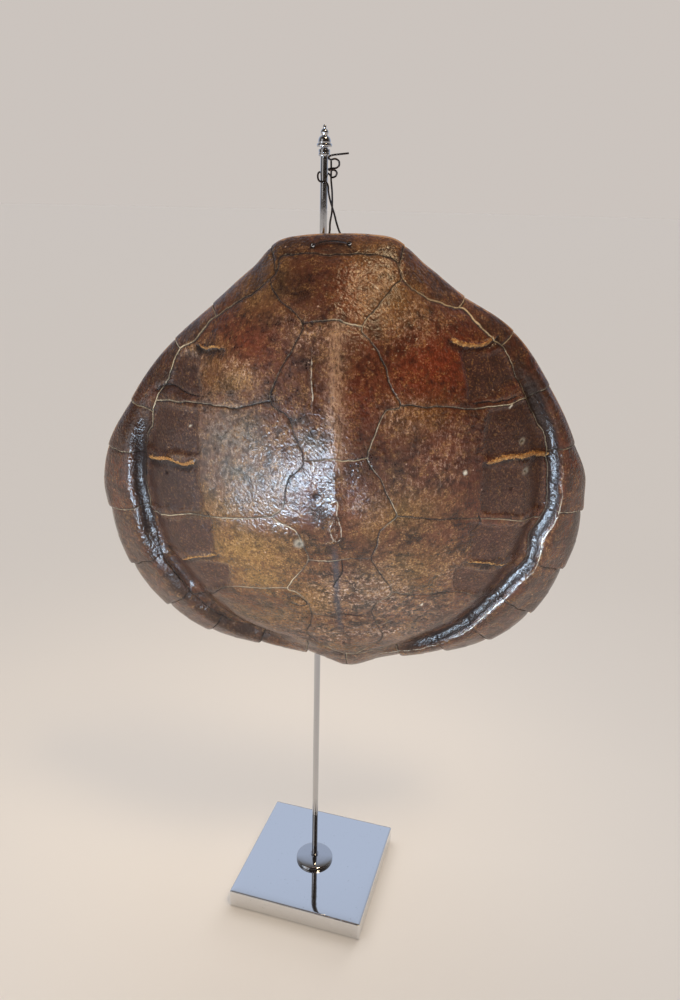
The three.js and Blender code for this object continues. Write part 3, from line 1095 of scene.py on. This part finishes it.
# %% Colour of the horn, from the ground up
def horn_color(horn):
    ground = horn.mix(horn.middle.step(0.36, 0.60), deep_brown, brown)
    reddened = horn.attribute("red") * (horn.broad.step(0.2, 0.6) * 0.4 + horn.small.step(0.36, 0.6) * 0.6)
    ambered = horn.amber * (horn.small.step(0.32, 0.60) * 0.65 + 0.25)
    cluster = horn.cloudy.step(0.47, 0.60)
    clouded = cluster * 0.42 + 0.26 + horn.amber * 0.12
    patchy = cluster * (horn.worn * 0.4 + 0.35) + horn.amber * 0.35
    flecked = horn.small.step(0.52, 0.62) * horn.fine.step(0.45, 0.56) * (horn.worn * 0.85 + 0.06)
    window_color = horn.mix(horn.cloudy.step(0.36, 0.60) * 0.5 + 0.4, deep_brown, window_brown)
    speck = horn.cells(13).step(0.075, 0.045) * horn.small.step(0.47, 0.56)
    torn_color = horn.mix(horn.fine.step(0.42, 0.6), torn_horn, torn_pale)
    torn_color = horn.mix(horn.small.step(0.60, 0.42) * 0.7, torn_color, torn_deep)
    return horn.layered(ground, [
        # Broad tones.
        (horn.cloudy.step(0.46, 0.66) * 0.6, olive),
        (reddened, red_brown),
        (ambered, amber),
        ((1 - horn.in_ring) * horn.middle.step(0.62, 0.42) * 0.7, rim_brown),
        # Grey of dull varnish, partly a painted sheen.
        (horn.dusty * (horn.small.step(0.34, 0.6) * 0.35 + 0.12), dust_sheen_grey),
        # Wear, mottling and flecks.
        (horn.worn * (horn.cloudy.step(0.40, 0.60) * 0.3 + 0.04), keel_tan),
        (horn.cloudy.step(0.48, 0.34) * clouded, deep_brown),
        (horn.fine.step(0.46, 0.38) * clouded, deep_brown),
        (horn.fine.step(0.55, 0.61) * patchy, tan_fleck),
        (flecked, pink_fleck),
        (horn.streaked.step(0.58, 0.66) * (horn.worn * 0.6 + 0.10), pink_fleck),
        (horn.streaked.step(0.44, 0.37) * 0.42, deep_brown),
        # The windows, the dark patches and the keel.
        (horn.window, window_color),
        (horn.window * horn.fine.step(0.56, 0.62) * 0.38, tan_fleck),
        (horn.window * horn.fine.step(0.47, 0.40) * 0.7, deep_brown),
        (horn.dark * 0.7, deep_brown),
        (horn.keel * (horn.streaked.step(0.38, 0.58) * 0.6 + 0.1), keel_tan),
        (horn.attribute("slate") * (horn.streaked.step(0.6, 0.45) * 0.4 + 0.45), slate),
        # The finest grain, over all of these, and a few pale specks.
        (horn.grain.step(0.62, 0.70) * cluster * (horn.worn * 0.5 + 0.25), tan_fleck),
        (horn.grain.step(0.36, 0.27) * clouded, seam_dark),
        (speck * 0.55, pink_fleck),
        # The cove, the torn ribs with a painted shadow under them, and the seams with their pale lines.
        (horn.cove * (0.95 - horn.small.step(0.55, 0.7) * 0.25), cove_dark),
        # Painted shadow under the torn ribs.
        (horn.attribute("torn_below") * 0.75, seam_dark),
        (horn.ragged, torn_color),
        (horn.attribute("nearest").step(1.9, 0.5) * 0.35, deep_brown),
        (horn.groove * (horn.middle.step(0.62, 0.42) * 0.3 + 0.65), seam_dark),
        (horn.cream_line * 0.85, cream),
        # Cracks, chips, pits, and lifted edges whose pale line is partly a painted highlight.
        (horn.crack_line * 0.85, seam_dark),
        (horn.attribute("chip"), pale_edge),
        # Dark pits; in the wire holes this is painted shade.
        (horn.pit * 0.8, seam_dark),
        (horn.lifted_line * horn.small.step(0.36, 0.6) * 0.5, pale_edge),
        # A painted highlight on the cove's outer edge.
        (horn.lip_crest * horn.small.step(0.4, 0.5) * 0.8, pale_edge),
        # The edge of the rim, and bone on the hollow side.
        (horn.attribute("lip").step(1.0, 0.0) * horn.middle.step(0.35, 0.6) * 0.7, torn_pale),
        (horn.hollow, bone_color(horn)),
    ])


# %% Gloss, grain and dirt of the horn
def horn_roughness(horn):
    varnish = horn.dusty * 0.08 - horn.glossy * 0.09 + horn.worn * 0.06
    sunken = horn.groove * 0.45 - horn.cove * 0.06 + horn.window * 0.14
    return (horn.small - 0.5) * 0.25 + varnish + sunken + horn.hollow * 0.4 + 0.19


def horn_height(horn):
    """The leathery skin with its lumps, streaks and rougher places, less the seams and cracks."""
    skin = horn.cells(2.0, "SMOOTH_F1") * 0.36 + horn.fine * 0.08 + horn.grain * 0.03
    lumpy = horn.hatched * (horn.worn * 0.1 + 0.34) + horn.small * (horn.worn * 0.5 + 0.35)
    varnish = (horn.dusty + horn.glossy) * (horn.hatched * 0.5 + horn.fine * 0.2)
    streaks = horn.streaked * (horn.keel * 0.3 + horn.worn * 0.15 + 0.06)
    coarse = horn.cove * horn.middle * 2 + horn.hollow * horn.small * 0.6
    return skin + lumpy + varnish + streaks + coarse - horn.groove * 0.2 - horn.crack_line * 0.5


def horn_dirt(horn):
    """Dirt lies in seams, pits and windows, on torn bone, and in the cove but for a broken streak."""
    from_streak = (horn.ring - 5 + (horn.middle - 0.5) * 9).size()
    streak = from_streak.step(3.2, 1.4) * horn.cloudy.step(0.36, 0.46) * horn.dark.step(0.6, 0.2)
    sunken = horn.groove * 0.8 + horn.pit * 0.9 + horn.window * 0.4
    dirt = horn.cove * (1 - streak) * 0.85 + horn.ragged * 0.6 + sunken
    return dirt * (1 - horn.hollow)


# %% Varnished horn
def make_horn():
    horn = Horn()
    add_lines(horn)
    add_windows_and_ribs(horn)
    color = horn_color(horn)
    normal = horn.bump(horn_height(horn))
    horn.cover(horn_dirt(horn), color, normal)
    return horn.use(Base_Color=color, Roughness=horn_roughness(horn), Normal=normal)


# %% Carapace
shell_mesh = drill(make_shell_mesh())
hang(shell_mesh)
add_piece("horn_carapace", "carapace", shell_mesh, make_horn())

# %% [markdown]
# ## Chrome
# Chrome has almost no colour of its own, so its life is in what it mirrors. Wiping leaves faint
# clouds of smear on it, which a noise puts into the roughness. The plate's sides were ground
# lengthways and never fully polished, so they are a little rough and finely lined.

# %% Chrome finishes
chrome_color = (0.80, 0.81, 0.83, 1)
fittings_color = (0.56, 0.57, 0.60, 1)


def make_chrome(name, smear=0.06):
    chrome = Finish(name, Metallic=1)
    clouds = chrome.noise(22, 4, 0.6)
    specks = chrome.noise(2.5, 2, 0.5)
    color = chrome.mix(specks.step(0.66, 0.74) * 0.35, fittings_color, (0.30, 0.28, 0.26, 1))
    return chrome.use(
        Base_Color=color, Roughness=clouds * smear + 0.03, Normal=chrome.bump(clouds * 0.04)
    )


def make_plate_chrome():
    chrome = Finish("ground_chrome", Metallic=1)
    facing = chrome.add("ShaderNodeTexCoord", output="Normal")
    up = chrome.add("ShaderNodeSeparateXYZ", None, {0: facing}, "Z")
    side = up.step(0.8, 0.3)
    clouds = chrome.noise(28, 4, 0.6)
    lengthways = chrome.mapped(scale=(0.06, 0.06, 1), rotation=(0, 0, math.radians(16.1)))
    lines = chrome.noise(0.8, 3, 0.6, place=lengthways)
    dents = chrome.noise(5, 3, 0.6)
    specks = chrome.noise(2, 2, 0.5)
    color = chrome.mix(specks.step(0.70, 0.76) * 0.4, chrome_color, (0.30, 0.28, 0.26, 1))
    color = chrome.mix(side * lines.step(0.5, 0.7) * 0.25, color, (0.62, 0.64, 0.66, 1))
    height = side * (lines * 0.05 + dents * 0.10) + clouds * 0.05
    rough = side * (lines * 0.16 + 0.12) + clouds * 0.05 + 0.02
    return chrome.use(Base_Color=color, Roughness=rough, Normal=chrome.bump(height))


# %% [markdown]
# ## The base plate
# A heavy square plate with slightly rounded edges. Polishing has rolled its top off a little towards
# the edges, and that roll is what bends the reflections there. It starts as a cube cut into a grid,
# with the cuts drawn closer together towards the edges, where the rounding needs them.

# %% Base plate
plate_side = 150
plate_thickness = 21.5
plate_edge_radius = 1.5
plate_turn = math.radians(-16.1)
roll_off_width = 11
roll_off_depth = 0.32


def make_plate():
    bm = bmesh.new()
    bmesh.ops.create_cube(bm, size=2)
    bmesh.ops.subdivide_edges(bm, edges=bm.edges, cuts=47, use_grid_fill=True)
    half = Vector((plate_side, plate_side, plate_thickness)) / 2
    core = half - Vector([plate_edge_radius] * 3)
    for vert in bm.verts:
        spot = Vector([h * math.sin(c * math.pi / 2) for h, c in zip(half, vert.co)])
        inner = Vector([max(-c, min(c, s)) for c, s in zip(core, spot)])
        spot = inner + (spot - inner).normalized() * plate_edge_radius
        if vert.co.z > 0.99:
            margin = min(half.x - abs(spot.x), half.y - abs(spot.y))
            spot.z -= roll_off_depth * max(0, 1 - margin / roll_off_width) ** 2.5
        vert.co = spot + Vector((0, 0, half.z))
    bmesh.ops.rotate(bm, matrix=Matrix.Rotation(plate_turn, 3, "Z"), verts=bm.verts)
    bmesh.ops.recalc_face_normals(bm, faces=bm.faces)
    return mesh_of(bm, "plate")


add_piece("chrome_base_plate", "base_plate", make_plate(), make_plate_chrome())

# %% [markdown]
# ## Turned fittings
# The flange, the rod, the collar and the finial were turned on a lathe, and a spin does the same: an
# outline from the axis out is swept once round. Corners are kept by starting a new smooth stretch
# at each of them.

# %% Turned pieces
plate_gap = 0.3
stand_height = 804
turning_steps = 72
collar_bottom = stand_height - 24.6
finial_bottom = stand_height - 17.4
fittings_chrome = make_chrome("fittings_chrome")
rod_chrome = make_chrome("rod_chrome", smear=0.10)


def outline(start, *stretches):
    """Points of (radius, height), in millimetres; a corner is kept where a new stretch begins."""
    points = [start]
    for stretch in stretches:
        line = [points[-1], *stretch]
        points.extend(through(line, 6)[1:] if len(line) > 2 else stretch)
    return points


def spin(points, bottom):
    """Sweeps an outline round the stand's axis, from a height up."""
    bm = bmesh.new()
    verts = [bm.verts.new((max(radius, 0), 0, bottom + height)) for radius, height in points]
    edges = [bm.edges.new(pair) for pair in zip(verts, verts[1:])]
    bmesh.ops.spin(
        bm, geom=verts + edges, axis=(0, 0, 1), cent=(0, 0, 0), steps=turning_steps, angle=TURN,
        use_merge=True,
    )
    bmesh.ops.remove_doubles(bm, verts=bm.verts, dist=1e-4)
    bmesh.ops.recalc_face_normals(bm, faces=bm.faces)
    sharp = math.radians(40)
    for edge in bm.edges:
        edge.smooth = edge.calc_face_angle(0) < sharp
    return bm


# %% Outlines and pieces
flange_outline = outline(
    (3.5, 0), [(20.6, 0)],
    [(21, 0.4), (21, 1.6), (20.5, 2.9), (19, 3.9), (15.5, 4.9), (11, 5.5), (7, 5.8), (5.4, 5.95)],
    [(4.6, 5.8), (4.0, 5.3)], [(3.5, 5.2)], [(3.5, 0)],
)
rod_outline = outline((0, 0), [(2.8, 0)], [(3.2, 0.4)], [(3.2, 764.1)], [(2.8, 764.5)], [(0, 764.5)])
collar_outline = outline(
    (3.5, 0), [(4.4, 0)], [(4.75, 0.15), (4.85, 0.5)], [(4.85, 2.4)],
    [(4.6, 2.65), (4.6, 2.95), (4.85, 3.2)], [(4.85, 5.1)], [(4.75, 5.45), (4.4, 5.6)],
    [(3.5, 5.6)], [(3.5, 0)],
)
finial_outline = outline(
    (0, 0), [(5.7, 0)], [(6.25, 0.35), (6.45, 1.4), (6.25, 2.5), (5.7, 2.9)], [(5.1, 3.1)],
    [(5.3, 4.2), (5.0, 6.2), (4.1, 7.9), (2.6, 8.9)], [(2.6, 9.4)],
    [(3.2, 10.6), (3.2, 12.0), (2.4, 13.5), (1.2, 14.4)],
    [(1.45, 15.2), (1.3, 16.4), (0.7, 17.2), (0, 17.4)],
)
above_plate = plate_thickness + plate_gap
for name, node, slot, points, bottom, finish in (
    ("chrome_flange", "base_flange", "chrome_fittings", flange_outline, above_plate, fittings_chrome),
    ("chrome_rod", "rod", "chrome_rod", rod_outline, above_plate, rod_chrome),
    ("chrome_collar", "rod_collar", "chrome_fittings", collar_outline, collar_bottom, fittings_chrome),
    ("chrome_finial", "finial", "chrome_fittings", finial_outline, finial_bottom, fittings_chrome),
):
    add_piece(name, node, mesh_of(spin(points, bottom), name), finish)

# %% [markdown]
# ## The hanging wire
# Soft iron wire, bent by hand: from its loose end it curls twice beside the rod, goes once round it,
# runs down to the right hole, across the front of the shell, back through the left hole and up into
# the twist. A curve with a round bevel follows the chosen points, which are the ones that the plain
# model's wire follows.

# %% Wire
wire_radius = 0.8
wire_route = [
    (20.6, -7, 782), (14, -7, 781.2), (8.2, -6.4, 780.5), (4.9, -6, 779.6), (3.8, -7.2, 777.8),
    (5.8, -8.4, 776.7), (9.4, -8.4, 777.4), (12.4, -7.8, 775.6), (12.6, -7, 772.3),
    (10.2, -6, 770.4), (7.4, -3.6, 770.2), (4.6, -4.2, 769.8), (3.9, -6, 769.2),
    (5.6, -7.9, 768.4), (8.6, -8.2, 768.8), (10.8, -7.8, 767), (10.2, -7, 764.4),
    (8.2, -4.8, 763.2), (6.4, -3, 763.2), (5.7, -0.8, 764), (4.6, 2.2, 765.5), (1.6, 4.8, 767),
    (-2.4, 4.4, 767.4), (-4.8, 1.6, 766.6), (-5.3, -1, 763.5), (-4.2, -3.2, 760.4),
    (-1.6, -4.9, 759.4), (1.2, -5.4, 759.3), (3, -6.6, 758), (3.9, -10, 755.5), (4.2, -14, 752),
    (5, -20, 748.4), (6, -24.5, 745), (7.8, -31, 740), (10, -38, 734), (12.2, -46, 727),
    (15, -52.5, 720.5), (19, -57, 717), (22.4, -60, 715.8), (23.4, -64, 715),
    (23, -70.2, 714.1), (22.8, -74.4, 713.7), (21.6, -77.4, 714.1), (18.6, -77.6, 714.7),
    (14.6, -76.6, 715.1), (8, -75.9, 715.3), (1.5, -76.1, 714.5), (-3.3, -76.8, 713.1),
    (-5.5, -76.2, 712.2), (-6.2, -73.2, 711.7), (-5.9, -68.4, 712.1), (-5.6, -62, 713),
    (-3.8, -58, 714.2), (0.8, -56.6, 716.2), (6.1, -55, 719.4), (6.7, -48.5, 728.3),
    (7.8, -40.5, 735.6), (7.9, -31, 743.6), (7.3, -17, 752.4), (6.4, -8, 758.8),
    (6.1, -5.9, 763), (6.1, -5.7, 770), (5.9, -5.9, 776),
]


def make_iron():
    iron = Finish("dark_iron", Metallic=0.85)
    rust = iron.noise(1.2, 3, 0.6)
    color = iron.mix(rust.step(0.5, 0.7), rgb(44, 38, 36), rgb(86, 58, 44))
    return iron.use(Base_Color=color, Roughness=rust * 0.3 + 0.28, Normal=iron.bump(rust * 0.08))


def make_wire():
    path = through(wire_route, 5) * MM
    curve = bpy.data.curves.new("wire_path", "CURVE")
    curve.dimensions = "3D"
    spline = curve.splines.new("POLY")
    spline.points.add(len(path) - 1)
    spline.points.foreach_set("co", np.column_stack([path, np.ones(len(path))]).ravel())
    curve.bevel_depth = wire_radius * MM
    curve.bevel_resolution = 3
    curve.use_fill_caps = True
    bent = put("wire_path", curve)
    mesh = bpy.data.meshes.new_from_object(bent)
    bpy.data.objects.remove(bent)
    mesh.shade_smooth()
    length = np.linalg.norm(np.diff(path, axis=0), axis=1).sum()
    print("wire length in mm:", round(length / MM))
    return mesh


add_piece("iron_wire", "hanging_wire", make_wire(), make_iron())

# %% [markdown]
# ## Floor and light
# The floor is plain and pale and runs far out under even light from the sky. The room beyond it has
# about the tone that the floor has there, so that hardly a line shows where they meet. Varnish and
# chrome show the lights themselves, so each lamp is placed for the gloss it makes: a cool one low in
# front for the sheen on the back, a small one beside it for the streak in the right cove, a wide dim
# one for the dusty side scutes, and a warm one above for glints at the head end. A large lamp fills
# the shadows, and one behind, which gloss doesn't show, parts the shell from the floor.

# %% Floor
floor_radius = 60
floor_pale = rgb(224, 219, 214)


def make_floor():
    bm = bmesh.new()
    bmesh.ops.create_circle(bm, cap_ends=True, segments=96, radius=floor_radius)
    floor = put("floor", mesh_from(bm, "floor"))
    paint = Finish("pale_floor", Base_Color=floor_pale, Roughness=0.7)
    floor.data.materials.append(paint.material)


make_floor()


# %% Lights
def add_light(name, place, target, size, power, color, spread=180, mirrored=True):
    """A square lamp; a spread below 180 degrees keeps its light to a cone."""
    data = bpy.data.lights.new(name, "AREA")
    data.shape = "RECTANGLE"
    data.size, data.size_y = size
    data.energy = power
    data.color = color
    data.spread = math.radians(spread)
    light = put(name, data)
    light.location = place
    light.visible_camera = False
    light.visible_glossy = mirrored
    aim = Vector(target) - Vector(place)
    light.rotation_euler = aim.to_track_quat("-Z", "Y").to_euler()


shell_middle = (0.02, -0.10, 0.52)
right_cove = (0.25, -0.06, 0.44)
cool = (0.62, 0.80, 1.0)
warm = (1.0, 0.76, 0.46)
plain = (1.0, 0.96, 0.92)
add_light("window", (-0.355, -0.78, 0.13), shell_middle, (0.24, 0.19), 1.5, cool, 60)
add_light("pane", (-0.12, -0.80, 0.20), right_cove, (0.14, 0.16), 0.26, cool, 26)
add_light("doorway", (-0.86, -0.56, 0.42), shell_middle, (0.5, 0.5), 0.30, (0.80, 0.90, 1.0), 80)
add_light("ceiling", (0.42, -0.60, 1.7), shell_middle, (0.3, 0.3), 0.35, warm, 36)
add_light("fill", (-1.4, -1.3, 1.3), shell_middle, (1.2, 1.2), 2.6, plain)
add_light("behind", (0.7, 1.4, 0.9), shell_middle, (0.8, 0.8), 1.6, plain, 60, mirrored=False)


sky_strength = 2.2


def add_skylight():
    """Even light from straight above on all of the floor; gloss doesn't show it."""
    data = bpy.data.lights.new("skylight", "SUN")
    data.energy = sky_strength
    data.angle = math.radians(80)
    data.color = plain
    sky = put("skylight", data)
    sky.rotation_euler = (math.radians(-12), 0, 0)
    sky.visible_glossy = False


add_skylight()

# %% The room
room_strength = 0.9
pale_room = rgb(213, 205, 199)
soft_room = rgb(108, 104, 102)


def set_world():
    """A plain pale room; gloss mirrors one that is bright behind the stand and dark in front.

    Where a ray of light comes from, and so what it should find, is told by the Light Path node.
    """
    world = bpy.data.worlds.new("room")
    world.use_nodes = True
    tree = world.node_tree
    direction = add_node(tree, "ShaderNodeTexCoord", output="Generated")
    ahead = add_node(tree, "ShaderNodeSeparateXYZ", None, {0: direction}, "Y")
    stops = [(0.30, rgb(60, 52, 46)), (0.62, rgb(126, 124, 122)), (0.85, rgb(198, 210, 232))]
    ramp = add_node(tree, "ShaderNodeValToRGB", {"stops": stops}, {"Fac": ahead * 0.5 + 0.5})
    seen = add_node(tree, "ShaderNodeLightPath", output="Is Camera Ray")
    mirrored = add_node(tree, "ShaderNodeLightPath", output="Is Glossy Ray")
    mix = ("ShaderNodeMix", {"data_type": "RGBA"})
    room = add_node(tree, *mix, {0: seen, 6: soft_room, 7: pale_room}, 2)
    room = add_node(tree, *mix, {0: mirrored, 6: room, 7: ramp}, 2)
    back = tree.nodes["Background"]
    tree.links.new(room.socket, back.inputs["Color"])
    back.inputs["Strength"].default_value = room_strength
    bpy.context.scene.world = world
    bpy.context.scene.view_settings.view_transform = "Standard"


set_world()
